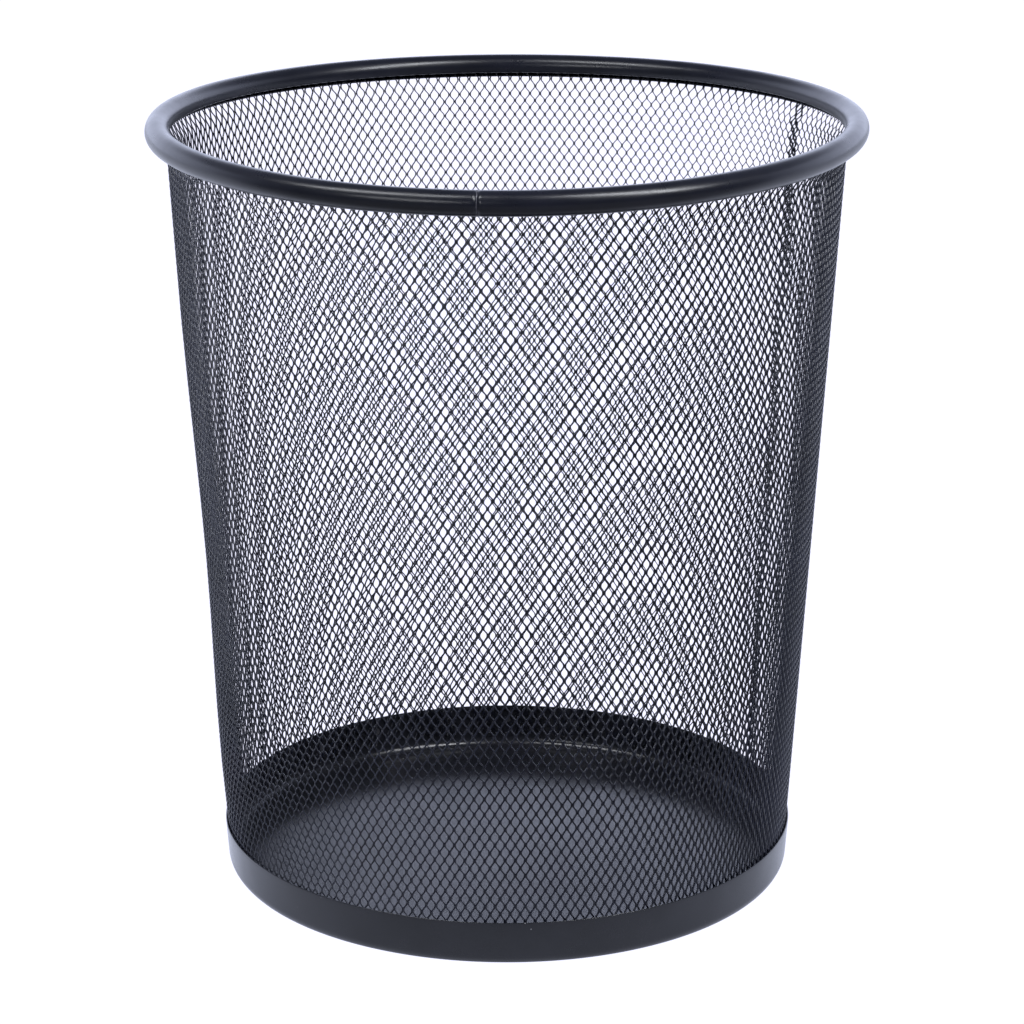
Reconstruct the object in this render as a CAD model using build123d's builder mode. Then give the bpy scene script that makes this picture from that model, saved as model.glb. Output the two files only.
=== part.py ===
"""Round mesh wastebasket: an expanded-steel wall between a rolled tube rim and a pressed pan base.

Frame: millimetres, +Z up, origin on the axis at the level the pan stands on.
-Y is the side that carries the butt joint of the rim; +X is to its right.
"""

import os
from math import atan2, cos, degrees, hypot, pi, radians, sin

from build123d import *

os.makedirs("parts", exist_ok=True)

# ---------------------------------------------------------------- driving sizes
# rim: steel strip rolled into a round tube, open along a slot on its lower inner side
rim_outer_d = 295.0  # over the rim
rim_tube_d = 10.0  # diameter of the rolled tube
rim_sheet = 0.8  # strip thickness
rim_z = 320.0  # height of the tube's centre line
rim_joint_azimuth = 265.6  # butt joint of the tube's two ends, degrees from +X
rim_joint_gap = 0.30  # space between the two ends, filled by the weld
rim_slot_clearance = 0.05  # between the slot's outer lip and the wall
rim_lip_deg = 207.0  # free inner lip of the slot, round the tube's section

# wall: expanded-steel mesh, drawn into a cone
wall_t = 0.8  # overall thickness of the expanded sheet
wall_r_low = 121.2  # outer radius at wall_low_z
wall_low_z = 19.6
wall_r_high = 138.85  # outer radius at wall_high_z, just under the rim
wall_high_z = 311.0
wall_bend_z = 309.5  # the wall flares outwards above this height
wall_bottom_z = 6.0  # lower edge, inside the pan
wall_entry_deg = 252.5  # where the wall enters the tube, round the tube's section
wall_in_rim = 2.6  # length of the wall's edge inside the tube's hollow
seam_azimuth = 26.3  # middle of the lapped seam, degrees from +X
seam_lap = 9.5  # width of the lap, about two meshes
seam_weld_count = 14
seam_weld_d = 2.6
seam_weld_h = 0.35

# base: one pressed pan
pan_h = 19.6  # height of the skirt
pan_r_top = 122.0  # outer radius of the skirt at its upper edge
pan_r_low = 121.0  # outer radius where the corner starts
pan_corner_r = 5.0  # outer radius of the pressed corner
pan_sheet = 0.6
pan_weld_count = 24
pan_weld_d = 3.0
pan_weld_z = 13.0

# ---------------------------------------------------------------- derived sizes
rim_r = rim_outer_d / 2 - rim_tube_d / 2  # centre line of the tube
tube_r = rim_tube_d / 2


def wall_outer_r(z):
    """Outer radius of the straight part of the wall at height z."""
    return wall_r_low + (wall_r_high - wall_r_low) * (z - wall_low_z) / (
        wall_high_z - wall_low_z
    )


def offset_line(points, distance):
    """The polyline moved sideways by distance, to the right of its direction."""
    normals = []
    for (x0, y0), (x1, y1) in zip(points, points[1:]):
        length = hypot(x1 - x0, y1 - y0)
        normals.append(((y1 - y0) / length, -(x1 - x0) / length))
    moved = []
    for i, (x, y) in enumerate(points):
        a = normals[max(i - 1, 0)]
        b = normals[min(i, len(normals) - 1)]
        mx, my = a[0] + b[0], a[1] + b[1]
        scale = 2 * distance / (mx * mx + my * my)
        moved.append((x + mx * scale, y + my * scale))
    return moved


# middle line of the wall's section, from its lower edge to its edge inside the rim
half = wall_t / 2
cone_tilt = atan2(wall_r_high - wall_r_low, wall_high_z - wall_low_z)
entry = (
    rim_r + (tube_r + 0.02) * cos(radians(wall_entry_deg)),
    rim_z + (tube_r + 0.02) * sin(radians(wall_entry_deg)),
)
bend = (wall_outer_r(wall_bend_z) - half / cos(cone_tilt), wall_bend_z)
flare = Vector(entry[0] - bend[0], entry[1] - bend[1]).normalized()
wall_end = (entry[0] + flare.X * wall_in_rim, entry[1] + flare.Y * wall_in_rim)
wall_mid = [
    (wall_outer_r(wall_bottom_z) - half / cos(cone_tilt), wall_bottom_z),
    bend,
    wall_end,
]
wall_outside = offset_line(wall_mid, half)
wall_inside = offset_line(wall_mid, -half)

# ---------------------------------------------------------------- base pan
# One profile, revolved: flat floor, pressed corner, and a skirt that opens
# slightly upwards so that it follows the cone of the wall.
with BuildPart() as base_pan:
    with BuildSketch(Plane.XZ) as pan_profile:
        with BuildLine() as pan_line:
            outside = Polyline(
                (0, 0),
                (pan_r_low - pan_corner_r, 0),
                (pan_r_low, 0),
                (pan_r_low, pan_corner_r),
                (pan_r_top, pan_h),
                (pan_r_top - pan_sheet, pan_h),
                (pan_r_low - pan_sheet, pan_corner_r),
                (pan_r_low - pan_sheet, pan_sheet),
                (pan_r_low - pan_corner_r, pan_sheet),
                (0, pan_sheet),
                close=True,
            )
        make_face()
        outer_corner = pan_profile.vertices().sort_by_distance((pan_r_low, 0, 0))[0]
        fillet(outer_corner, radius=pan_corner_r - 0.05)
        inner_corner = pan_profile.vertices().sort_by_distance(
            (pan_r_low - pan_sheet, 0, pan_sheet)
        )[0]
        fillet(inner_corner, radius=pan_corner_r - pan_sheet - 0.05)
    revolve(axis=Axis.Z)
base_pan.part.label = "base_pan"

# ---------------------------------------------------------------- mesh wall
# Closed conical sheet with the mesh's true outer and inner faces. Its two ends
# lap at the seam, where a second thickness lies on the inside.
seam_half_angle = degrees(seam_lap / 2 / wall_outer_r(160))
lap_top_z = wall_bend_z - 1.0
lap_bottom_z = wall_bottom_z + 1.0
lap_r0 = wall_outer_r(lap_bottom_z) - wall_t / cos(cone_tilt)
lap_r1 = wall_outer_r(lap_top_z) - wall_t / cos(cone_tilt)
with BuildPart() as wall_mesh:
    with BuildSketch(Plane.XZ):
        with BuildLine():
            Polyline(*wall_outside, *reversed(wall_inside), close=True)
        make_face()
    revolve(axis=Axis.Z)
    with BuildSketch(Plane.XZ.rotated((0, 0, seam_azimuth - seam_half_angle))):
        with BuildLine():
            Polyline(
                (lap_r0 + 0.2, lap_bottom_z),
                (lap_r1 + 0.2, lap_top_z),
                (lap_r1 - wall_t, lap_top_z),
                (lap_r0 - wall_t, lap_bottom_z),
                close=True,
            )
        make_face()
    revolve(axis=Axis.Z, revolution_arc=2 * seam_half_angle)
wall_mesh.part.label = "wall_mesh"

# ---------------------------------------------------------------- seam welds
# A row of small weld caps down the lap, on the inner face.
seam_step = (lap_top_z - lap_bottom_z - 24.0) / (seam_weld_count - 1)
seam_planes = []
for i in range(seam_weld_count):
    z = lap_bottom_z + 12.0 + i * seam_step
    face_r = wall_outer_r(z) - wall_t / cos(cone_tilt) - wall_t
    a = radians(seam_azimuth)
    inward = Vector(
        -cos(a) * cos(cone_tilt), -sin(a) * cos(cone_tilt), sin(cone_tilt)
    )
    at = Vector(face_r * cos(a), face_r * sin(a), z)
    seam_planes.append(Plane(origin=at + inward * 0.02, z_dir=inward))
with BuildPart() as seam_welds:
    with BuildSketch(*seam_planes):
        Circle(seam_weld_d / 2)
    extrude(amount=seam_weld_h, taper=35)
seam_welds.part.label = "seam_welds"

# ---------------------------------------------------------------- pan welds
# Spot welds between the wall's outer face and the skirt's inner face. Each is a
# short plug that fills the gap between the two sheets.
pan_wall_outer = wall_outer_r(pan_weld_z)
pan_wall_inner = (
    pan_r_low
    + (pan_r_top - pan_r_low) * (pan_weld_z - pan_corner_r) / (pan_h - pan_corner_r)
    - pan_sheet
)
skirt_tilt = atan2(pan_r_top - pan_r_low, pan_h - pan_corner_r)
with BuildPart() as pan_spot_welds:
    with BuildSketch(Plane.XZ):
        with BuildLine():
            Polyline(
                (wall_outer_r(pan_weld_z - pan_weld_d / 2), pan_weld_z - pan_weld_d / 2),
                (wall_outer_r(pan_weld_z + pan_weld_d / 2), pan_weld_z + pan_weld_d / 2),
                (
                    pan_wall_inner + sin(skirt_tilt) * pan_weld_d / 2,
                    pan_weld_z + pan_weld_d / 2,
                ),
                (
                    pan_wall_inner - sin(skirt_tilt) * pan_weld_d / 2,
                    pan_weld_z - pan_weld_d / 2,
                ),
                close=True,
            )
        make_face()
    revolve(axis=Axis.Z)
    weld_places = [
        Plane(
            origin=(0, 0, pan_weld_z),
            x_dir=(0, 0, 1),
            z_dir=(cos(2 * pi * i / pan_weld_count), sin(2 * pi * i / pan_weld_count), 0),
        )
        for i in range(pan_weld_count)
    ]
    with BuildSketch(*weld_places):
        Circle(pan_weld_d / 2)
    extrude(amount=pan_r_top + 5, mode=Mode.INTERSECT)
pan_spot_welds.part.label = "pan_spot_welds"

# ---------------------------------------------------------------- rim tube
# Rolled tube, open on its lower inner side. Its outer lip lies on the wall, and its
# inner lip stands free of it. A gap is left at the butt joint.
flare_side = Vector(flare.Y, -flare.X) * (half + rim_slot_clearance)


def on_tube(radius, angle):
    """Point of the rim's section at this distance from its centre line."""
    return Vector(rim_r + radius * cos(radians(angle)), rim_z + radius * sin(radians(angle)))


slot = [
    Vector(*entry) - flare * 1.5 + flare_side,
    Vector(*entry) + flare * 2.0 + flare_side,
    on_tube(3.6, rim_lip_deg),
    on_tube(6.5, rim_lip_deg),
    on_tube(6.5, 235.0),
]
gap_angle = degrees(rim_joint_gap / rim_r)
with BuildPart() as rim_tube:
    with BuildSketch(Plane.XZ.rotated((0, 0, rim_joint_azimuth + gap_angle / 2))):
        with Locations((rim_r, rim_z)):
            Circle(tube_r)
            Circle(tube_r - rim_sheet, mode=Mode.SUBTRACT)
        with BuildLine():
            Polyline(*[(p.X, p.Y) for p in slot], close=True)
        make_face(mode=Mode.SUBTRACT)
    revolve(axis=Axis.Z, revolution_arc=360 - gap_angle)
rim_tube.part.label = "rim_tube"

# ---------------------------------------------------------------- rim weld
# Weld metal that fills the butt joint round the tube's section.
with BuildPart() as rim_butt_weld:
    with BuildSketch(Plane.XZ.rotated((0, 0, rim_joint_azimuth - gap_angle / 2))):
        with Locations((rim_r, rim_z)):
            Circle(tube_r)
            Circle(tube_r - rim_sheet, mode=Mode.SUBTRACT)
        with BuildLine():
            Polyline(*[(p.X, p.Y) for p in slot], close=True)
        make_face(mode=Mode.SUBTRACT)
    revolve(axis=Axis.Z, revolution_arc=gap_angle)
rim_butt_weld.part.label = "rim_butt_weld"

# ---------------------------------------------------------------- export
for piece in (base_pan, wall_mesh, seam_welds, pan_spot_welds, rim_tube, rim_butt_weld):
    export_step(piece.part, f"parts/{piece.part.label}.step")
    box = piece.part.bounding_box()
    print(
        piece.part.label,
        "solids", len(piece.part.solids()),
        "volume", round(piece.part.volume, 1),
        "low", tuple(round(v, 2) for v in (box.min.X, box.min.Y, box.min.Z)),
        "high", tuple(round(v, 2) for v in (box.max.X, box.max.Y, box.max.Z)),
    )
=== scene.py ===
"""Round mesh wastebasket: expanded-steel wall, rolled tube rim and pressed pan base, in black semi-gloss paint.

Lengths are worked out in millimetres about the part's axis and turned into metres when a mesh is made.
Angles: azimuth runs from +X; "sheet angle" runs from -Y towards +X, over one turn plus the lap.
"""

import math

import bmesh
import bpy
import numpy as np
from mathutils import Matrix, Vector


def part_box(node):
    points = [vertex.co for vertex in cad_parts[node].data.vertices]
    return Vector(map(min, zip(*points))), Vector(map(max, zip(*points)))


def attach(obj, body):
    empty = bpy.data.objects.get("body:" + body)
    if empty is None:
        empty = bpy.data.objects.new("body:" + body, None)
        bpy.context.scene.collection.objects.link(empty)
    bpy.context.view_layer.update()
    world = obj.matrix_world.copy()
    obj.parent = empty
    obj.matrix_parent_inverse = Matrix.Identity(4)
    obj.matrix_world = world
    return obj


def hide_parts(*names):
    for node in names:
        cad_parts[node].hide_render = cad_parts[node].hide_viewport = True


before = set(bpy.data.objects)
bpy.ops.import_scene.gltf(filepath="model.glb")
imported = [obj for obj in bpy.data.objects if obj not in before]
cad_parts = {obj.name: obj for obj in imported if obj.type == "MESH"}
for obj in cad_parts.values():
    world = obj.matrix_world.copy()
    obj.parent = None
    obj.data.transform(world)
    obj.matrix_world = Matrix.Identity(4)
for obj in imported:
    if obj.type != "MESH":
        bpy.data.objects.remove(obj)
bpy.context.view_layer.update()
MM = 0.001

# ------------------------------------------------------------------ sizes read from the frame, in mm
rim_lo, rim_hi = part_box("rim_tube")
pan_lo, pan_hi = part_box("base_pan")
wall_lo, wall_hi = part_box("wall_mesh")
TUBE_R = (rim_hi.z - rim_lo.z) / 2 / MM
RIM_Z = (rim_hi.z + rim_lo.z) / 2 / MM
RIM_R = (rim_hi.x - rim_lo.x) / 2 / MM - TUBE_R
PAN_H = pan_hi.z / MM
PAN_R_TOP = (pan_hi.x - pan_lo.x) / 2 / MM
WALL_BOTTOM = wall_lo.z / MM
RIM_SHEET = 0.8
PAN_SHEET = 0.6
PAN_R_LOW = PAN_R_TOP - 1.0
PAN_CORNER = 5.0
JOINT_AZ = math.radians(265.6)
SEAM_SHEET = 116.3  # sheet angle of the middle of the lapped seam, degrees

rng = np.random.default_rng(20)


# ------------------------------------------------------------------ helpers
def smooth(x, a, b):
    t = np.clip((x - a) / (b - a), 0.0, 1.0)
    return t * t * (3 - 2 * t)


def warp(p, wall=True):
    """The slight out-of-true of a light rolled part: the rim is a little saddle-shaped, and the wall a little dented."""
    x, y, z = p[..., 0], p[..., 1], p[..., 2]
    a = np.arctan2(y, x)
    r = np.hypot(x, y)
    k = z / RIM_Z
    up = k * (0.942 * np.cos(2 * a) + 0.0039 * r * np.cos(a) - 0.0056 * r * np.sin(a))
    if wall:
        side = np.angle(np.exp(1j * (a - math.pi)))
        dent = np.interp(
            z,
            [0, 22, 45, 70, 92, 115, 138, 165, 192, 215, 240, 275, 311, 330],
            [0, 0.1, 0.6, 0.45, 0.0, -0.6, -0.9, -0.75, -0.25, 0.15, 0.4, 0.25, 0.0, 0.0],
        )
        r = r + dent * np.exp(-((side / math.radians(24)) ** 2))
    out = np.empty_like(p)
    out[..., 0], out[..., 1], out[..., 2] = r * np.cos(a), r * np.sin(a), z + up * smooth(z, 0.0, 8.0)
    return out


def mesh_object(name, verts, quads, ngons=(), uv=None, outward=True):
    """A mesh from arrays: verts (n, 3) in mm, quads (m, 4), then polygons of equal length."""
    me = bpy.data.meshes.new(name)
    faces = [np.asarray(quads, np.int32)] + [np.asarray(g, np.int32) for g in ngons]
    faces = [f for f in faces if len(f)]
    loops = np.concatenate([f.ravel() for f in faces])
    counts = np.concatenate([np.full(len(f), f.shape[1], np.int32) for f in faces])
    starts = np.concatenate([[0], np.cumsum(counts)[:-1]]).astype(np.int32)
    me.vertices.add(len(verts))
    me.vertices.foreach_set("co", (np.asarray(verts, np.float64) * MM).astype(np.float32).ravel())
    me.loops.add(len(loops))
    me.loops.foreach_set("vertex_index", loops)
    me.polygons.add(len(counts))
    me.polygons.foreach_set("loop_start", starts)
    me.polygons.foreach_set("loop_total", counts)
    me.polygons.foreach_set("use_smooth", np.ones(len(counts), bool))
    if uv is not None:
        layer = me.uv_layers.new(name="OFBake")
        layer.data.foreach_set("uv", np.asarray(uv, np.float32).ravel())
    me.update(calc_edges=True)
    me.validate()
    if outward:
        bm = bmesh.new()
        bm.from_mesh(me)
        bmesh.ops.recalc_face_normals(bm, faces=bm.faces)
        bm.to_mesh(me)
        bm.free()
    ob = bpy.data.objects.new(name, me)
    bpy.context.scene.collection.objects.link(ob)
    return ob


def revolve(name, profile, count, a0=0.0, a1=2 * math.pi, bend=None, wall=False):
    """A closed section (r, z) swept round the axis. A full turn closes on itself, and a part turn is left open at its
    ends for the caller to cap.
    """
    profile = np.asarray(profile, float)
    full = abs((a1 - a0) - 2 * math.pi) < 1e-9
    n = len(profile)
    rows = count if full else count + 1
    a = a0 + (a1 - a0) * np.arange(rows) / count
    r = np.repeat(profile[None, :, 0], rows, 0)
    z = np.repeat(profile[None, :, 1], rows, 0)
    if bend is not None:
        r, z = bend(a[:, None], r, z)
    v = np.stack([r * np.cos(a)[:, None], r * np.sin(a)[:, None], z], -1)
    v = warp(v, wall=wall).reshape(-1, 3)
    i = np.arange(count)
    j = (i + 1) % rows
    k = np.arange(n)
    l = (k + 1) % n
    q = np.stack(
        [
            (i[:, None] * n + k[None]),
            (j[:, None] * n + k[None]),
            (j[:, None] * n + l[None]),
            (i[:, None] * n + l[None]),
        ],
        -1,
    ).reshape(-1, 4)
    return v, q, n, rows, full


# ------------------------------------------------------------------ paint
def paint(name, dark, light, rough, peel=0.12, specks=0.0, grime=0.3, coat=0.0, level=0.5):
    """Sprayed black enamel: uneven film colour, cloudy gloss, orange peel, and a few dust specks."""
    m = bpy.data.materials.new(name)
    m.use_nodes = True
    nt = m.node_tree
    nt.nodes.clear()
    new = nt.nodes.new
    link = nt.links.new
    out = new("ShaderNodeOutputMaterial")
    bsdf = new("ShaderNodeBsdfPrincipled")
    link(bsdf.outputs["BSDF"], out.inputs["Surface"])
    bsdf.inputs["Metallic"].default_value = 0.0
    bsdf.inputs["Specular IOR Level"].default_value = level
    bsdf.inputs["Coat Weight"].default_value = coat
    bsdf.inputs["Coat Roughness"].default_value = 0.12
    at = new("ShaderNodeTexCoord")

    def noise(scale, detail, roughness=0.55, distortion=0.0):
        n = new("ShaderNodeTexNoise")
        n.inputs["Scale"].default_value = scale
        n.inputs["Detail"].default_value = detail
        n.inputs["Roughness"].default_value = roughness
        n.inputs["Distortion"].default_value = distortion
        link(at.outputs["Object"], n.inputs["Vector"])
        return n

    def ramp(source, lo, hi, a=0.0, b=1.0):
        r = new("ShaderNodeMapRange")
        r.inputs["From Min"].default_value = lo
        r.inputs["From Max"].default_value = hi
        r.inputs["To Min"].default_value = a
        r.inputs["To Max"].default_value = b
        link(source, r.inputs["Value"])
        return r.outputs["Result"]

    def mix(fac, a, b):
        x = new("ShaderNodeMix")
        x.data_type = "RGBA"
        link(fac, x.inputs["Factor"])
        for s, c in ((6, a), (7, b)):
            if isinstance(c, tuple):
                x.inputs[s].default_value = (*c, 1.0)
            else:
                link(c, x.inputs[s])
        return x.outputs[2]

    cloud = noise(34.0, 5.0, 0.6)
    colour = mix(ramp(cloud.outputs["Fac"], 0.35, 0.68), dark, light)
    film = noise(420.0, 3.0, 0.6)
    colour = mix(ramp(film.outputs["Fac"], 0.5, 0.75, 0.0, grime), colour, tuple(1.8 * c for c in light))
    roughness = ramp(noise(58.0, 4.0, 0.65).outputs["Fac"], 0.3, 0.7, rough[0], rough[1])
    if specks > 0:
        cell = new("ShaderNodeTexVoronoi")
        cell.feature = "F1"
        cell.inputs["Scale"].default_value = 210.0
        cell.inputs["Randomness"].default_value = 1.0
        link(at.outputs["Object"], cell.inputs["Vector"])
        near = ramp(cell.outputs["Distance"], 0.045, 0.075, 1.0, 0.0)
        rare = ramp(noise(31.0, 2.0).outputs["Fac"], 0.57, 0.63, 0.0, specks)
        both = new("ShaderNodeMath")
        both.operation = "MULTIPLY"
        link(near, both.inputs[0])
        link(rare, both.inputs[1])
        colour = mix(both.outputs[0], colour, (0.30, 0.30, 0.32))
        dull = new("ShaderNodeMath")
        dull.operation = "MULTIPLY_ADD"
        dull.inputs[1].default_value = 0.3
        link(both.outputs[0], dull.inputs[0])
        link(roughness, dull.inputs[2])
        roughness = dull.outputs[0]
    link(colour, bsdf.inputs["Base Color"])
    link(roughness, bsdf.inputs["Roughness"])
    bump = new("ShaderNodeBump")
    bump.inputs["Strength"].default_value = peel
    bump.inputs["Distance"].default_value = 0.0001
    link(noise(760.0, 3.0, 0.5).outputs["Fac"], bump.inputs["Height"])
    link(bump.outputs["Normal"], bsdf.inputs["Normal"])
    return m


rim_paint = paint("rim_paint", (0.005, 0.006, 0.011), (0.009, 0.010, 0.018), (0.26, 0.34), peel=0.015, specks=0.0, grime=0.04, level=0.46)
mesh_paint = paint("mesh_paint", (0.007, 0.008, 0.015), (0.013, 0.015, 0.028), (0.17, 0.32), peel=0.10, grime=0.20, level=0.5)
pan_paint = paint("pan_paint", (0.010, 0.011, 0.015), (0.017, 0.018, 0.024), (0.19, 0.27), peel=0.04, specks=0.7, grime=0.06, level=0.52)
weld_paint = paint("weld_paint", (0.030, 0.031, 0.038), (0.060, 0.062, 0.074), (0.34, 0.52), peel=0.30, grime=0.40, level=0.6)

# The joint's weld bead is painted lighter than the rim. This is partly thinner paint over the weld, and partly a
# painted highlight for the bright line that the joint's edge catches.
bead_highlight_paint = paint("bead_highlight_paint", (0.045, 0.045, 0.055), (0.09, 0.09, 0.11), (0.30, 0.45), peel=0.10, grime=0.30, level=0.6)


def wear(ob, material):
    ob.data.materials.clear()
    ob.data.materials.append(material)
    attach(ob, "root")
    return ob


# ------------------------------------------------------------------ expanded-metal wall
COLUMNS = 190  # holes round the wall
STRAND_W = 0.74  # width of one strand
STRAND_T = 0.42  # its thickness
TILT = math.radians(43)  # its broad face leans this far out of the sheet
PV0, PV1, ZTOP = 6.28, 0.0021, 311.75  # height of a hole at z 312, its growth per mm down, and where V is 0
LAP = 2.0  # holes that the sheet's two ends share at the seam

# Drift of the pattern from even spacing, in holes, over the sheet angle and height.
A_BACK = np.arange(-250.0, -119, 10)
A_FRONT = np.arange(-60.0, 61, 10)
Z_T = np.array([0, 30, 60, 90, 120, 150, 180, 210, 240, 270, 300, 330], float)
DU_FRONT = np.array(  # from z 120 up
    [
        [-1.28, -1.27, -0.93, -0.77, -0.73, -0.77, -0.80, -0.85, -1.07, -1.17, -0.98, -0.77, -0.84],
        [-1.19, -1.15, -0.83, -0.67, -0.68, -0.77, -0.79, -0.86, -0.99, -1.10, -0.95, -0.92, -1.20],
        [-1.16, -1.11, -0.79, -0.67, -0.66, -0.75, -0.79, -0.85, -1.02, -1.09, -0.94, -1.04, -1.45],
        [-1.09, -1.01, -0.75, -0.63, -0.64, -0.75, -0.80, -0.86, -0.98, -1.02, -0.93, -1.09, -1.55],
        [-0.94, -0.88, -0.71, -0.66, -0.68, -0.74, -0.80, -0.88, -0.95, -1.01, -0.94, -1.12, -1.57],
        [-0.91, -0.88, -0.76, -0.68, -0.71, -0.77, -0.81, -0.87, -0.96, -1.00, -0.98, -1.13, -1.46],
        [-0.80, -0.80, -0.77, -0.74, -0.77, -0.83, -0.84, -0.87, -0.92, -0.96, -0.93, -1.06, -1.34],
    ]
)
DV_FRONT = np.array(
    [
        [0.09, 0.07, 0.11, 0.10, 0.11, 0.01, -0.14, -0.08, 0.11, 0.14, 0.04, -0.01, 0.03],
        [0.08, 0.04, 0.07, 0.11, 0.07, -0.03, -0.14, -0.07, 0.03, 0.07, 0.03, 0.03, 0.11],
        [0.02, -0.01, 0.02, 0.03, 0.00, -0.10, -0.15, -0.09, 0.03, 0.06, 0.01, 0.05, 0.17],
        [-0.03, -0.06, -0.04, -0.05, -0.09, -0.17, -0.18, -0.10, -0.02, 0.00, 0.01, 0.05, 0.20],
        [-0.08, -0.11, -0.11, -0.15, -0.18, -0.19, -0.18, -0.12, -0.07, -0.01, -0.02, 0.06, 0.20],
        [-0.12, -0.16, -0.18, -0.19, -0.21, -0.23, -0.22, -0.16, -0.09, -0.04, 0.02, 0.10, 0.21],
        [-0.15, -0.19, -0.24, -0.27, -0.27, -0.29, -0.27, -0.22, -0.16, -0.09, -0.03, 0.05, 0.18],
    ]
)
DU_BACK = np.array(  # from z 30 up
    [
        [-0.45, -0.40, -0.34, -0.37, -0.44, -0.38, -0.30, -0.26, -0.23, -0.21, -0.22, -0.26, -0.30, -0.38],
        [-0.45, -0.40, -0.38, -0.33, -0.36, -0.31, -0.26, -0.23, -0.21, -0.23, -0.26, -0.28, -0.29, -0.41],
        [-0.45, -0.40, -0.39, -0.30, -0.28, -0.26, -0.23, -0.18, -0.17, -0.18, -0.23, -0.26, -0.22, -0.38],
        [-0.45, -0.40, -0.39, -0.29, -0.26, -0.24, -0.20, -0.16, -0.14, -0.16, -0.18, -0.21, -0.20, -0.40],
        [-0.45, -0.40, -0.46, -0.30, -0.20, -0.18, -0.16, -0.15, -0.15, -0.15, -0.19, -0.21, -0.19, -0.46],
        [-0.48, -0.42, -0.48, -0.31, -0.16, -0.12, -0.13, -0.14, -0.16, -0.19, -0.22, -0.26, -0.35, -0.64],
        [-0.65, -0.60, -0.55, -0.35, -0.14, -0.11, -0.11, -0.12, -0.16, -0.19, -0.21, -0.26, -0.48, -0.74],
        [-0.83, -0.77, -0.70, -0.42, -0.20, -0.17, -0.13, -0.12, -0.14, -0.17, -0.20, -0.25, -0.46, -0.70],
        [-0.95, -0.85, -0.76, -0.52, -0.38, -0.30, -0.23, -0.16, -0.14, -0.17, -0.21, -0.23, -0.33, -0.56],
        [-0.95, -0.85, -0.76, -0.51, -0.40, -0.35, -0.28, -0.19, -0.14, -0.16, -0.19, -0.21, -0.23, -0.31],
    ]
)
DV_BACK = np.array(
    [
        [0.10, 0.08, 0.08, -0.06, -0.14, -0.11, -0.12, -0.19, -0.20, -0.22, -0.20, -0.17, -0.12, -0.17],
        [0.12, 0.10, 0.09, -0.03, -0.09, -0.10, -0.13, -0.17, -0.18, -0.16, -0.17, -0.14, -0.12, -0.18],
        [0.12, 0.08, 0.06, -0.01, -0.06, -0.10, -0.16, -0.19, -0.20, -0.18, -0.17, -0.17, -0.13, -0.16],
        [0.10, 0.08, 0.05, -0.01, -0.08, -0.13, -0.16, -0.19, -0.20, -0.18, -0.19, -0.20, -0.14, -0.17],
        [0.08, 0.06, 0.03, -0.02, -0.09, -0.15, -0.19, -0.23, -0.22, -0.20, -0.18, -0.18, -0.19, -0.23],
        [0.02, 0.01, -0.04, -0.12, -0.19, -0.22, -0.23, -0.26, -0.26, -0.24, -0.22, -0.22, -0.22, -0.30],
        [-0.12, -0.16, -0.15, -0.24, -0.25, -0.26, -0.27, -0.29, -0.29, -0.29, -0.28, -0.27, -0.29, -0.35],
        [-0.28, -0.29, -0.30, -0.35, -0.33, -0.34, -0.32, -0.31, -0.33, -0.34, -0.31, -0.30, -0.31, -0.35],
        [-0.50, -0.48, -0.43, -0.46, -0.44, -0.41, -0.38, -0.37, -0.38, -0.37, -0.35, -0.33, -0.37, -0.34],
        [-0.50, -0.49, -0.47, -0.48, -0.48, -0.45, -0.43, -0.41, -0.40, -0.38, -0.36, -0.36, -0.37, -0.39],
    ]
)


def drift_table(back, front, ends):
    back = np.pad(back, ((1, 1), (0, 0)), mode="edge")
    front = np.pad(front, ((4, 1), (0, 0)), mode="edge")
    # resampled on a fine grid and softened, so that no strand has a kink
    az = np.arange(-250, 126, 2.0)
    zz = np.arange(0, 331, 5.0)
    places = np.concatenate([A_BACK, [-90], A_FRONT, [90, 125]])
    rows = []
    for k, f in zip(back, front):
        rows.append(np.interp(az, places, [*k, (k[-1] + f[0]) / 2, *f, f[-1] + ends[0], f[-1] + ends[1]]))
    t = np.array(rows)
    t = np.array([np.interp(zz, Z_T, col) for col in t.T]).T
    k = np.array([1, 2, 3, 4, 3, 2, 1], float)
    k /= k.sum()
    pad = np.pad(t, ((3, 3), (3, 3)), mode="edge")
    pad = np.apply_along_axis(lambda v: np.convolve(v, k, "valid"), 0, pad)
    return np.apply_along_axis(lambda v: np.convolve(v, k, "valid"), 1, pad)


TABLE_U = drift_table(DU_BACK, DU_FRONT, (0.03, 0.05))
TABLE_V = drift_table(DV_BACK, DV_FRONT, (0.02, 0.04))


def drift(table, s, z):
    i = np.clip((s + 250) / 2.0, 0, table.shape[1] - 1.001)
    j = np.clip(z / 5.0, 0, table.shape[0] - 1.001)
    i0, j0 = i.astype(int), j.astype(int)
    fi, fj = i - i0, j - j0
    return (
        table[j0, i0] * (1 - fi) * (1 - fj)
        + table[j0, i0 + 1] * fi * (1 - fj)
        + table[j0 + 1, i0] * (1 - fi) * fj
        + table[j0 + 1, i0 + 1] * fi * fj
    )


def height(v):
    """z where the even pattern reaches v rows above its zero."""
    pv = (PV0 + PV1 * (312 - ZTOP)) * np.exp(-PV1 * v)
    return 312 - (pv - PV0) / PV1


def sheet_radius(z):
    """Middle of the expanded sheet: a cone, then a flare into the rim's slot."""
    half = STRAND_W * math.sin(TILT) + STRAND_T / 2 * math.cos(TILT)
    return np.interp(
        z,
        [0.0, 19.6, 308.3, 310.0, 311.8, 315.23, 317.9, 325.0],
        [121.2 - 17.65 / 291.4 * 19.6 - half, 121.2 - half, 138.69 - half, 138.42, 139.35, 141.0, 142.25, 145.5],
    )


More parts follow.
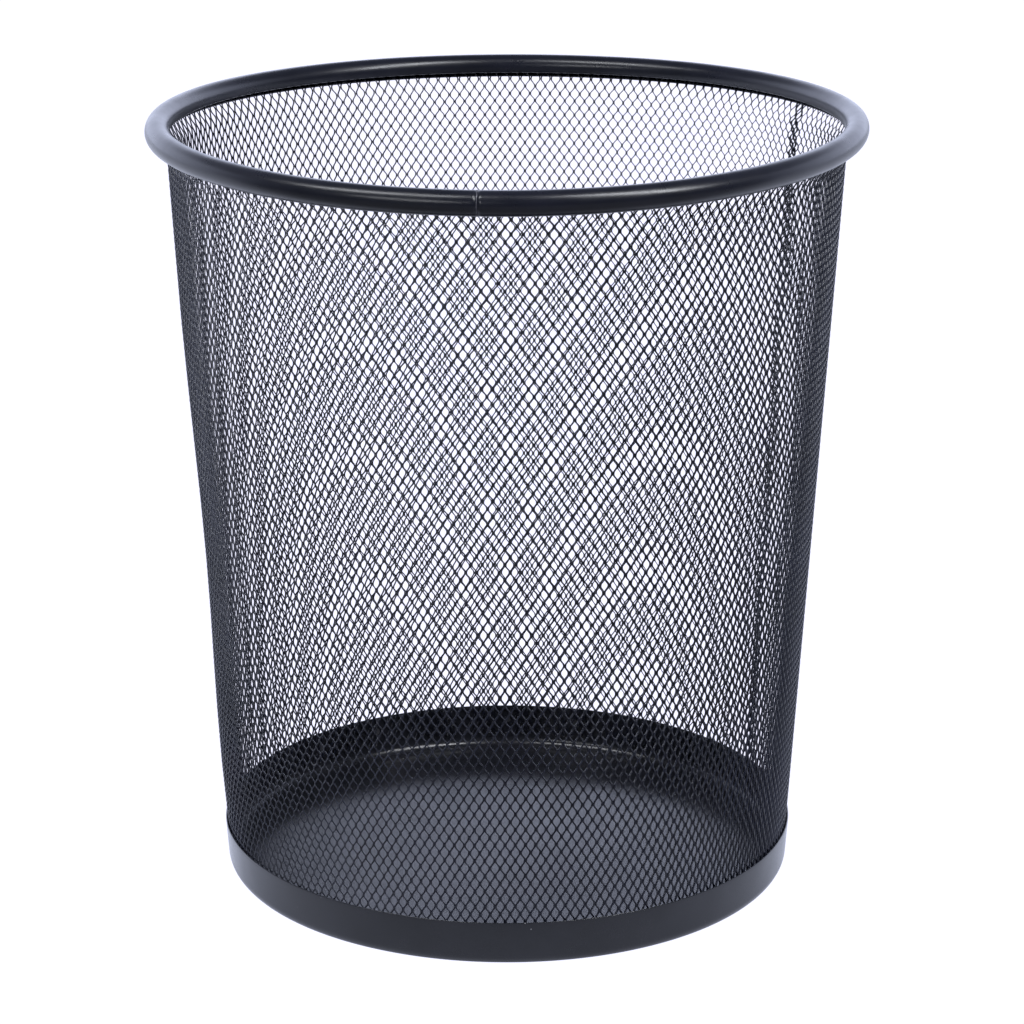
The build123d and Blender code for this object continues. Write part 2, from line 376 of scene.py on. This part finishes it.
def on_sheet(u, v):
    """Sheet angle in degrees and height in mm of a point of the pattern."""
    s = u * 360.0 / COLUMNS
    z = height(v)
    for _ in range(3):
        s_new = (u - drift(TABLE_U, s, z)) * 360.0 / COLUMNS
        z = height(v - drift(TABLE_V, s, z))
        s = s_new
    return s, z


def wall_strands():
    first = SEAM_SHEET - 360.0
    mid = 0.5 * LAP * 360 / COLUMNS
    k0 = math.ceil(2 * (COLUMNS * (first - mid) / 360 + drift(TABLE_U, np.array(first), np.array(160.0))))
    k1 = math.floor(2 * (COLUMNS * (SEAM_SHEET + mid) / 360 + drift(TABLE_U, np.array(SEAM_SHEET), np.array(160.0))))
    ks = np.arange(k0, k1)
    m0, m1 = -93, 3
    knots = []  # (row in half holes, place along the leg, 0 at a knuckle and 1 at the next)
    flat, bend = 0.055, 0.135
    corner = (flat + bend) / 2
    lean = (bend - corner) / (0.5 - 2 * corner)
    ms, vs, fs = [], [], []
    for m in range(m0, m1):
        for dv, f in ((flat, 0.0), (bend, lean), (0.5 - bend, 1 - lean), (0.5 - flat, 1.0)):
            ms.append(m)
            vs.append(m / 2 + dv)
            fs.append(f)
    ms, vs, fs = np.array(ms), np.array(vs), np.array(fs)
    left = (ks[:, None] + ms[None]) % 2 != 0  # this half row starts at the strand's left knuckle
    side = np.where(left, fs[None], 1 - fs[None])  # 0 at the left knuckle, 1 at the right
    u = (ks[:, None] + side) / 2
    v = np.repeat(vs[None], len(ks), 0)
    # a random jitter for every hole is drawn here, but nothing below applies it
    jit_u = rng.normal(0, 0.010, (len(ks) + 2, (m1 - m0) + 2))
    s, z = on_sheet(u, v)
    off = (0.5 - side) * (STRAND_W - 0.03)  # along the strand's width, so that two strands meet edge to edge at a knuckle
    r = sheet_radius(z)
    # the end of the sheet that lies inside at the seam
    tuck = 1 - smooth(s, first + mid, first + mid + 9.0)
    depth = 1.16 * tuck * (1 - smooth(z, 300.0, 316.0) * 0.75)
    r = r - depth
    a = np.radians(s - 90.0)
    n = np.stack([np.cos(a), np.sin(a), np.zeros_like(a)], -1)
    c = np.stack([-np.sin(a), np.cos(a), np.zeros_like(a)], -1)
    # above the cone the sheet is squeezed flat where it enters the rim
    squeeze = smooth(z, 309.5, 315.5)
    tilt = TILT * (1 - 0.55 * squeeze)
    w = np.sin(tilt)[..., None] * n + np.cos(tilt)[..., None] * c
    b = np.cos(tilt)[..., None] * n - np.sin(tilt)[..., None] * c
    centre = np.stack([r * n[..., 0], r * n[..., 1], z], -1) + off[..., None] * w
    # section: a flat strip with rounded edges
    hw, ht = STRAND_W / 2, STRAND_T / 2
    sec = np.array([(hw, 0), (0.70 * hw, ht), (-0.70 * hw, ht), (-hw, 0), (-0.70 * hw, -ht), (0.70 * hw, -ht)])
    grow = 1.02 + 0.105 * np.cos(np.radians(s)) + 0.04 * np.sin(vs * 5.1 + 0.7)[None] * np.sin(ks * 1.7)[:, None]
    grow = grow * (1 + 0.09 * (1 - z / 311.0))
    # the cut ends of the sheet, where strands were sheared through and folded back
    place = np.arange(len(ks))
    cut_end = np.maximum(1 - place / 3.0, 1 - (len(ks) - 1 - place) / 3.0).clip(0, 1)
    grow = grow * (1 + (0.45 + 0.35 * smooth(z, 180.0, 260.0)) * cut_end[:, None])
    verts = (
        centre[:, :, None]
        + (sec[:, 0][None, None, :, None] * grow[:, :, None, None]) * w[:, :, None]
        + (sec[:, 1][None, None, :, None] * grow[:, :, None, None]) * b[:, :, None]
    )
    verts = warp(verts)
    return ks, verts


ks, strands = wall_strands()
count_k, count_p, count_s = strands.shape[:3]
SECTORS = 10
cut = np.linspace(0, count_k, SECTORS + 1).astype(int)
for i in range(SECTORS):
    part = strands[cut[i] : cut[i + 1]]
    n_k = len(part)
    base = (np.arange(n_k) * count_p * count_s)[:, None, None]
    row = (np.arange(count_p - 1) * count_s)[None, :, None]
    c0 = np.arange(count_s)[None, None]
    c1 = (c0 + 1) % count_s
    quads = np.stack([base + row + c0, base + row + count_s + c0, base + row + count_s + c1, base + row + c1], -1)
    quads = quads[..., ::-1].reshape(-1, 4)
    cap0 = np.arange(n_k)[:, None] * count_p * count_s + np.arange(count_s)[None]
    cap1 = cap0 + (count_p - 1) * count_s
    # each strand is a strip of the map, its six sides one above another
    lane = np.arange(n_k)[:, None, None]
    px = np.arange(count_p - 1)[None, :, None] / (count_p - 1)
    px1 = (np.arange(count_p - 1)[None, :, None] + 1) / (count_p - 1)
    lane_h = 1.0 / n_k
    y0 = lane * lane_h + lane_h * (0.04 + 0.84 * np.arange(count_s)[None, None] / count_s)
    y1 = y0 + lane_h * 0.84 / count_s
    sx = lambda t: 0.005 + 0.98 * t
    full = (n_k, count_p - 1, count_s)
    uv4 = np.stack(
        [
            np.stack(np.broadcast_arrays(sx(px), y0), -1) * np.ones(full + (1,)),
            np.stack(np.broadcast_arrays(sx(px1), y0), -1) * np.ones(full + (1,)),
            np.stack(np.broadcast_arrays(sx(px1), y1), -1) * np.ones(full + (1,)),
            np.stack(np.broadcast_arrays(sx(px), y1), -1) * np.ones(full + (1,)),
        ],
        -2,
    )[..., ::-1, :].reshape(-1, 2)
    ring = np.stack([np.cos(np.arange(count_s) * math.pi / 3), np.sin(np.arange(count_s) * math.pi / 3)], -1)
    lane_c = (np.arange(n_k) + 0.95) * lane_h
    spot = lambda x: np.stack([x + 0.0015 * ring[None, :, 0] + 0 * lane_c[:, None], lane_c[:, None] + 0.03 * lane_h * ring[None, :, 1]], -1)
    uv_caps = np.concatenate([spot(0.01).reshape(-1, 2), spot(0.985)[:, ::-1].reshape(-1, 2)])
    ob = mesh_object(
        f"wall_mesh_{i + 1:02d}",
        part.reshape(-1, 3),
        quads,
        [np.concatenate([cap0, cap1[:, ::-1]])],
        uv=np.concatenate([uv4, uv_caps]),
        outward=False,
    )
    wear(ob, mesh_paint)
    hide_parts("wall_mesh")

# ------------------------------------------------------------------ rim tube
start, end = math.radians(257.5), math.radians(207.0 + 360.0)  # outer lip, on the mesh, and free inner lip


def tube_section(outer, inner):
    """The open tube's section. Its free lip is hemmed, so the sheet is thicker there and its edge is round."""

    def inside(t):
        return inner - 0.45 * smooth(t, end - math.radians(16), end - math.radians(9))

    def cap(t, way, count=4):
        low = inside(t)
        mid, half = (outer + low) / 2, (outer - low) / 2
        c = np.array([RIM_R + mid * math.cos(t), RIM_Z + mid * math.sin(t)])
        radial = np.array([math.cos(t), math.sin(t)])
        along = np.array([-math.sin(t), math.cos(t)]) * way
        turn = np.linspace(0, math.pi, count + 2)[1:-1]
        return [tuple(c + half * (radial * way * math.cos(f) + along * math.sin(f))) for f in turn]

    pts = []
    for t in np.linspace(start, end, 56):
        pts.append((RIM_R + outer * math.cos(t), RIM_Z + outer * math.sin(t)))
    pts += cap(end, 1)
    for t in np.linspace(end, start, 40):
        r = float(inside(t))
        pts.append((RIM_R + r * math.cos(t), RIM_Z + r * math.sin(t)))
    pts += cap(start, -1)
    return pts


def rim_bend(a, r, z):
    """A rolled tube is never quite round: a slow wave in its height and radius."""
    wave = 0.05 * np.sin(5 * a + 0.4) + 0.03 * np.sin(9 * a + 2.1) + 0.008 * np.sin(17 * a + 1.0)
    lift = 0.05 * np.sin(7 * a + 1.3) + 0.02 * np.sin(13 * a + 0.5)
    return r + wave * 0.6, z + lift * 0.6


gap = 0.34 / RIM_R
section = tube_section(TUBE_R, TUBE_R - RIM_SHEET)
v, q, n, rows, full = revolve("rim_tube", section, 540, JOINT_AZ + gap / 2, JOINT_AZ - gap / 2 + 2 * math.pi, bend=rim_bend)
# the two ends, closed by a ring of quads between the outer and inner faces
o = list(range(56))
caps = []
for t in range(55):
    inner_t = 56 + 4 + round((55 - t) * 39 / 55)
    inner_n = 56 + 4 + round((55 - t - 1) * 39 / 55)
    caps.append((t, t + 1, inner_n, inner_t))
tail = (rows - 1) * n
quad_caps = [c for c in caps if c[2] != c[3]]
tri_caps = [(c[0], c[1], c[2]) for c in caps if c[2] == c[3]]
lip_a = [55] + list(range(56, 60)) + [60]
lip_b = [99 + 0] + list(range(100, 104)) + [0]
end_quads = np.array(quad_caps)
end_tris = np.array(tri_caps)
rim = mesh_object(
    "rim_tube_skin",
    v,
    np.concatenate([q[:, ::-1], end_quads, (end_quads + tail)[:, ::-1]]),
    [
        np.concatenate([end_tris, (end_tris + tail)[:, ::-1]]),
        np.array([lip_a, lip_b]),
        np.array([lip_a, lip_b])[:, ::-1] + tail,
    ],
)
wear(rim, rim_paint)
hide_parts("rim_tube")

# weld bead in the butt joint, a little proud of the tube
bead = tube_section(TUBE_R + 0.02, TUBE_R - RIM_SHEET + 0.05)


def bead_bend(a, r, z):
    da = (a - JOINT_AZ) / (gap * 0.5)
    crown = 0.05 * np.clip(1 - (da / 1.5) ** 2, -0.6, 1)
    cr, cz = r - RIM_R, z - RIM_Z
    rr = np.hypot(cr, cz)
    t = np.arctan2(cz, cr)
    outer = rr > TUBE_R - RIM_SHEET / 2
    rr = np.where(outer, rr + crown, rr)
    return rim_bend(a, RIM_R + rr * np.cos(t), RIM_Z + rr * np.sin(t))


v, q, n, rows, full = revolve("bead", bead, 6, JOINT_AZ - gap * 0.6, JOINT_AZ + gap * 0.6, bend=bead_bend)
tail = (rows - 1) * n
bead_ob = mesh_object(
    "rim_joint_weld",
    v,
    np.concatenate([q[:, ::-1], end_quads, (end_quads + tail)[:, ::-1]]),
    [
        np.concatenate([end_tris, (end_tris + tail)[:, ::-1]]),
        np.array([lip_a, lip_b]),
        np.array([lip_a, lip_b])[:, ::-1] + tail,
    ],
)
wear(bead_ob, bead_highlight_paint)
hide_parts("rim_butt_weld")

# ------------------------------------------------------------------ base pan
pan = []
for r in (2.0, 12.0, 24.0, 36.0, 48.0, 60.0, 72.0, 82.0, 92.0, 100.0, 106.0, 111.0, 114.5):
    pan.append((r, 0.0))
ro = PAN_CORNER
for t in np.linspace(-90, 0, 12):
    pan.append((PAN_R_LOW - ro + ro * math.cos(math.radians(t)), ro + ro * math.sin(math.radians(t))))
edge = 0.22
slope = (PAN_R_TOP - PAN_R_LOW) / (PAN_H - PAN_CORNER)
for z in np.linspace(PAN_CORNER, PAN_H - edge, 9)[1:]:
    pan.append((PAN_R_LOW + slope * (z - PAN_CORNER), z))
for t in (30, 60):
    pan.append((PAN_R_TOP - edge * (1 - math.cos(math.radians(t))), PAN_H - edge + edge * math.sin(math.radians(t))))
pan.append((PAN_R_TOP - edge, PAN_H))
pan.append((PAN_R_TOP - PAN_SHEET + edge, PAN_H))
for t in (60, 30):
    pan.append((PAN_R_TOP - PAN_SHEET + edge * (1 - math.cos(math.radians(t))), PAN_H - edge + edge * math.sin(math.radians(t))))
for z in np.linspace(PAN_H - edge, PAN_CORNER, 9):
    pan.append((PAN_R_LOW + slope * (z - PAN_CORNER) - PAN_SHEET, z))
ri = ro - PAN_SHEET
for t in np.linspace(0, -90, 12)[1:]:
    pan.append((PAN_R_LOW - ro + ri * math.cos(math.radians(t)), ro + ri * math.sin(math.radians(t))))
for r in (114.5, 111.0, 106.0, 100.0, 92.0, 82.0, 72.0, 60.0, 48.0, 36.0, 24.0, 12.0, 2.0):
    pan.append((r, PAN_SHEET))
pan = np.array(pan)
# a few more rings on the floor, so that its slow buckle shows in the reflection


def pan_bend(a, r, z):
    x, y = r * np.cos(a), r * np.sin(a)
    floor = smooth(114.0 - r, 0.0, 20.0)
    buckle = 0.10 * np.sin(x / 31.0 + 0.6) * np.sin(y / 27.0 + 1.9) + 0.06 * np.sin(x / 17.0 - y / 23.0) + 0.16
    z = z + floor * buckle
    skirt = smooth(z, 4.0, 12.0) * (r > 119.0)
    dr = 0.07 * np.sin(4 * a + 0.8) + 0.05 * np.sin(11 * a + 2.0) + 0.03 * np.sin(23 * a) + 0.015 * np.sin(47 * a + 0.4)
    return r + skirt * dr * 0.7, z


v, q, n, rows, full = revolve("base_pan", pan, 480, bend=pan_bend)
keep = (q % n != n - 1).any(1) & ~((q[:, 0] % n == n - 1) & (q[:, 3] % n == 0))
q = q[keep]
# the middle of the floor, closed with two fans of triangles round a vertex
low_c, high_c = len(v), len(v) + 1
zc = float(pan_bend(np.array([0.0]), np.array([0.0]), np.array([0.0]))[1][0])
v = np.concatenate([v, [[0, 0, zc], [0, 0, zc + PAN_SHEET]]])
i = np.arange(rows)
j = (i + 1) % rows
fan_low = np.stack([i * n, j * n, np.full(rows, low_c)], -1)
fan_high = np.stack([j * n + n - 1, i * n + n - 1, np.full(rows, high_c)], -1)
pan_ob = mesh_object("base_pan_skin", v, q[:, ::-1], [np.concatenate([fan_low[:, ::-1], fan_high[:, ::-1]])])
wear(pan_ob, pan_paint)
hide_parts("base_pan")

# ------------------------------------------------------------------ welds
# Flattened nuggets that join the two layers of the lap.
nug_v, nug_f4, nug_f3 = [], [], []
weld_lo, weld_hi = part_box("seam_welds")
zs = np.linspace(weld_lo.z / MM + 1.3, weld_hi.z / MM - 1.3, 14)
rings, around = 7, 20
for w_i, z in enumerate(zs):
    s = SEAM_SHEET + rng.normal(0, 0.22)
    a = math.radians(s - 90)
    r = float(sheet_radius(np.array(z))) - 0.62
    nrm = np.array([math.cos(a), math.sin(a), 0.0])
    tan = np.array([-math.sin(a), math.cos(a), 0.0])
    centre = nrm * r + np.array([0, 0, z])
    size = 0.80 * (1 + rng.normal(0, 0.08))
    wob = rng.normal(0, 0.05, (around,))
    wob = (wob + np.roll(wob, 1) + np.roll(wob, -1)) / 1.7
    start_i = len(nug_v)
    nug_v.append(centre + nrm * 0.55)
    for g in range(1, rings):
        f = math.pi * g / rings
        for h in range(around):
            t = 2 * math.pi * h / around
            rad = size * (math.sin(f) ** 0.7) * (1 + wob[h])
            nug_v.append(centre + nrm * 0.55 * math.cos(f) + tan * rad * math.cos(t) + np.array([0, 0, 1.15 * rad * math.sin(t)]))
    nug_v.append(centre - nrm * 0.55)
    last = len(nug_v) - 1
    for h in range(around):
        k = (h + 1) % around
        nug_f3.append((start_i, start_i + 1 + h, start_i + 1 + k))
        nug_f3.append((last, start_i + 1 + (rings - 2) * around + k, start_i + 1 + (rings - 2) * around + h))
        for g in range(rings - 2):
            b0 = start_i + 1 + g * around
            nug_f4.append((b0 + h, b0 + around + h, b0 + around + k, b0 + k))
nug = mesh_object("seam_weld_nuggets", warp(np.array(nug_v)), np.array(nug_f4), [np.array(nug_f3)])
wear(nug, mesh_paint)
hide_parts("seam_welds")

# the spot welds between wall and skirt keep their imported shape
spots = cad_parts["pan_spot_welds"]
spots.data.materials.clear()
spots.data.materials.append(weld_paint)

# ------------------------------------------------------------------ floor, light, camera
scene = bpy.context.scene
scene.view_settings.view_transform = "Standard"
scene.view_settings.look = "None"
WHITE = (1.03, 1.035, 1.24)  # the white surroundings, just past the top of the scale, most of all in blue


def stage_material(name, colour, glow):
    """White table, lit from behind and exposed past white where the camera sees it."""
    m = bpy.data.materials.new(name)
    m.use_nodes = True
    nt = m.node_tree
    p = nt.nodes["Principled BSDF"]
    p.inputs["Base Color"].default_value = (*colour, 1)
    p.inputs["Roughness"].default_value = 0.9
    p.inputs["Specular IOR Level"].default_value = 0.0
    place = nt.nodes.new("ShaderNodeTexCoord")
    xyz = nt.nodes.new("ShaderNodeSeparateXYZ")
    nt.links.new(place.outputs["Object"], xyz.inputs[0])
    lit = nt.nodes.new("ShaderNodeMapRange")
    lit.interpolation_type = "SMOOTHSTEP"
    lit.inputs["From Min"].default_value = -0.285
    lit.inputs["From Max"].default_value = 0.10
    lit.inputs["To Min"].default_value = 0.0
    lit.inputs["To Max"].default_value = 1.35
    nt.links.new(xyz.outputs["Y"], lit.inputs["Value"])
    table_glow = nt.nodes.new("ShaderNodeEmission")
    table_glow.inputs["Color"].default_value = (0.78, 0.84, 1.05, 1)
    side = nt.nodes.new("ShaderNodeMapRange")
    side.interpolation_type = "SMOOTHSTEP"
    side.inputs["From Min"].default_value = -0.14
    side.inputs["From Max"].default_value = 0.16
    side.inputs["To Min"].default_value = 1.0
    side.inputs["To Max"].default_value = 0.85
    nt.links.new(xyz.outputs["X"], side.inputs["Value"])
    level = nt.nodes.new("ShaderNodeMath")
    level.operation = "MULTIPLY"
    nt.links.new(lit.outputs["Result"], level.inputs[0])
    nt.links.new(side.outputs["Result"], level.inputs[1])
    nt.links.new(level.outputs[0], table_glow.inputs["Strength"])
    both = nt.nodes.new("ShaderNodeAddShader")
    nt.links.new(p.outputs["BSDF"], both.inputs[0])
    nt.links.new(table_glow.outputs["Emission"], both.inputs[1])
    seen = nt.nodes.new("ShaderNodeEmission")
    seen.inputs["Color"].default_value = (*glow, 1)
    seen.inputs["Strength"].default_value = 1.0
    path = nt.nodes.new("ShaderNodeLightPath")
    mixer = nt.nodes.new("ShaderNodeMixShader")
    nt.links.new(path.outputs["Is Camera Ray"], mixer.inputs[0])
    nt.links.new(both.outputs["Shader"], mixer.inputs[1])
    nt.links.new(seen.outputs["Emission"], mixer.inputs[2])
    nt.links.new(mixer.outputs["Shader"], nt.nodes["Material Output"].inputs["Surface"])
    return m


me = bpy.data.meshes.new("floor")
me.from_pydata([(-6, -6, 0), (6, -6, 0), (6, 6, 0), (-6, 6, 0)], [], [(0, 1, 2, 3)])
floor = bpy.data.objects.new("floor", me)
floor.location.z = -0.0002
bpy.context.scene.collection.objects.link(floor)
floor.data.materials.append(stage_material("floor_white", (0.24, 0.24, 0.25), WHITE))

world = bpy.data.worlds.new("studio")
scene.world = world
world.use_nodes = True
wn = world.node_tree
back = wn.nodes["Background"]
back.inputs["Color"].default_value = (0.76, 0.82, 1.05, 1)
where = wn.nodes.new("ShaderNodeTexCoord")
parts = wn.nodes.new("ShaderNodeSeparateXYZ")
wn.links.new(where.outputs["Generated"], parts.inputs[0])
fade = wn.nodes.new("ShaderNodeMapRange")
fade.interpolation_type = "SMOOTHSTEP"
fade.inputs["From Min"].default_value = -0.32
fade.inputs["From Max"].default_value = 0.80
fade.inputs["To Min"].default_value = 0.10
fade.inputs["To Max"].default_value = 2.4
wn.links.new(parts.outputs["Y"], fade.inputs["Value"])
high = wn.nodes.new("ShaderNodeMapRange")
high.interpolation_type = "SMOOTHSTEP"
high.inputs["From Min"].default_value = 0.35
high.inputs["From Max"].default_value = 0.55
high.inputs["To Min"].default_value = 1.0
high.inputs["To Max"].default_value = 0.10
wn.links.new(parts.outputs["Z"], high.inputs["Value"])
together = wn.nodes.new("ShaderNodeMath")
together.operation = "MULTIPLY"
wn.links.new(fade.outputs["Result"], together.inputs[0])
wn.links.new(high.outputs["Result"], together.inputs[1])
wn.links.new(together.outputs[0], back.inputs["Strength"])
plain = wn.nodes.new("ShaderNodeBackground")
plain.inputs["Color"].default_value = (*WHITE, 1)
plain.inputs["Strength"].default_value = 1.0
path = wn.nodes.new("ShaderNodeLightPath")
mixer = wn.nodes.new("ShaderNodeMixShader")
wn.links.new(path.outputs["Is Camera Ray"], mixer.inputs[0])
wn.links.new(back.outputs["Background"], mixer.inputs[1])
wn.links.new(plain.outputs["Background"], mixer.inputs[2])
wn.links.new(mixer.outputs["Shader"], wn.nodes["World Output"].inputs["Surface"])


def area(name, place, at, size, power, colour=(1, 1, 1)):
    l = bpy.data.lights.new(name, "AREA")
    l.shape = "RECTANGLE"
    l.size, l.size_y = size
    l.energy = power
    l.color = colour
    ob = bpy.data.objects.new(name, l)
    ob.location = place
    ob.rotation_mode = "QUATERNION"
    ob.rotation_quaternion = (Vector(at) - Vector(place)).to_track_quat("-Z", "Y")
    scene.collection.objects.link(ob)
    return ob


def strip(name, low, high, at, width, power, colour=(0.93, 0.95, 1.0)):
    """A long softbox between two points, facing a third."""
    low, high, at = Vector(low), Vector(high), Vector(at)
    ob = area(name, (low + high) / 2, at, (width, (high - low).length), power, colour)
    y = (high - low).normalized()
    z = (low + high) / 2 - at
    z = (z - y * z.dot(y)).normalized()
    ob.rotation_quaternion = Matrix((y.cross(z), y, z)).transposed().to_quaternion()
    return ob


RIM_FRONT = (0.0, -0.14, 0.32)
strip("strip_left", (-1.14, -0.30, 1.42), (-0.30, -0.74, 1.76), RIM_FRONT, 0.30, 12.5)
strip("strip_right", (1.20, -0.78, 1.07), (0.42, -0.70, 1.76), RIM_FRONT, 0.26, 22)
strip("strip_low_left", (-0.45, -1.45, 0.72), (-1.10, -1.15, 0.86), (0.0, 0.14, 0.32), 0.16, 4)

PITCH, YAW = 0.3119, 0.0015
cam_data = bpy.data.cameras.new("camera")
cam_data.sensor_width = 36.0
cam_data.lens = 3485.66 * 36.0 / 1024
cam_data.clip_start, cam_data.clip_end = 0.05, 30
cam = bpy.data.objects.new("camera", cam_data)
cam.location = (0.0, -1.4050, 0.60696)
ahead = Vector((math.sin(YAW) * math.cos(PITCH), math.cos(YAW) * math.cos(PITCH), -math.sin(PITCH)))
cam.rotation_mode = "QUATERNION"
cam.rotation_quaternion = ahead.to_track_quat("-Z", "Y")
scene.collection.objects.link(cam)
scene.camera = cam
